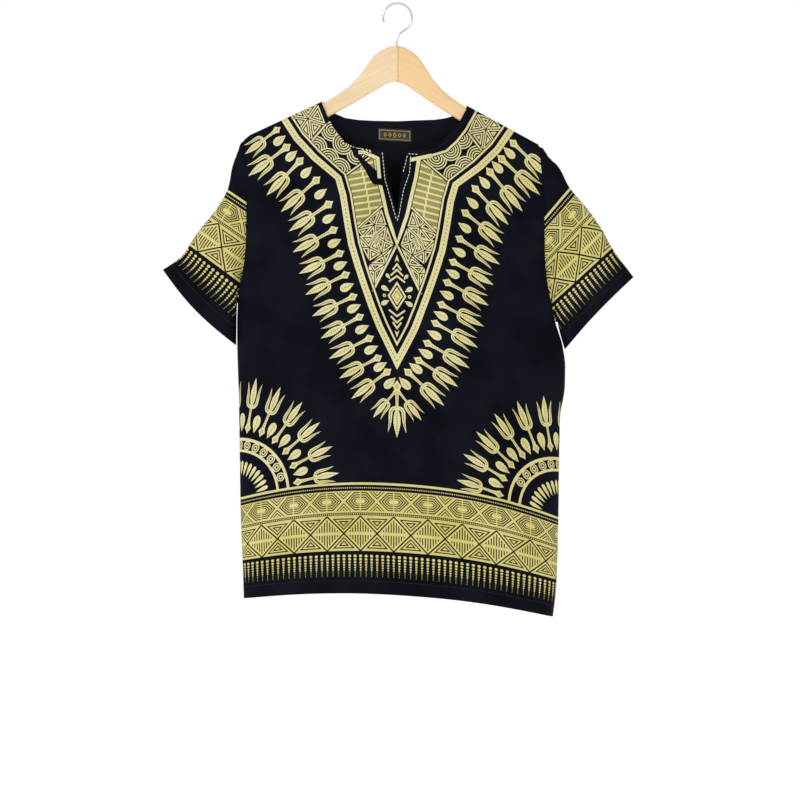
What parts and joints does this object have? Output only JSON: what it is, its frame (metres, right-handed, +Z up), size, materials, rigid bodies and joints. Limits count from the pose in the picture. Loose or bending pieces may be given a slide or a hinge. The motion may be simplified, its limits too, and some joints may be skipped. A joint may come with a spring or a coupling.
{
  "type": "dashiki shirt on a clothes hanger",
  "caption": "Short-sleeved loose pullover shirt with a slit neck, hanging open and hollow on a wooden hanger with a wire hook.",
  "frame": {"origin": "top of the inside of the hook, where the rail carries it", "axes": "+Z up, -Y out of the front of the shirt, +X to the right of someone who faces it"},
  "size_m": [0.7064, 0.0968, 0.9209],
  "materials": {
    "printed_cloth": "thin plain-woven cotton and rayon, blue-black, printed in pale gold",
    "label_satin": "woven satin label, black with plain gold lines",
    "hanger_wood": "pale lacquered hardwood, fine straight grain",
    "hook_steel": "bright plated steel wire"
  },
  "bodies": {
    "root": {"front": "printed_cloth", "back": "printed_cloth", "right_sleeve": "printed_cloth", "left_sleeve": "printed_cloth", "neck_label": "label_satin", "hanger": "hanger_wood", "hook": "hook_steel"}
  },
  "joints": []
}
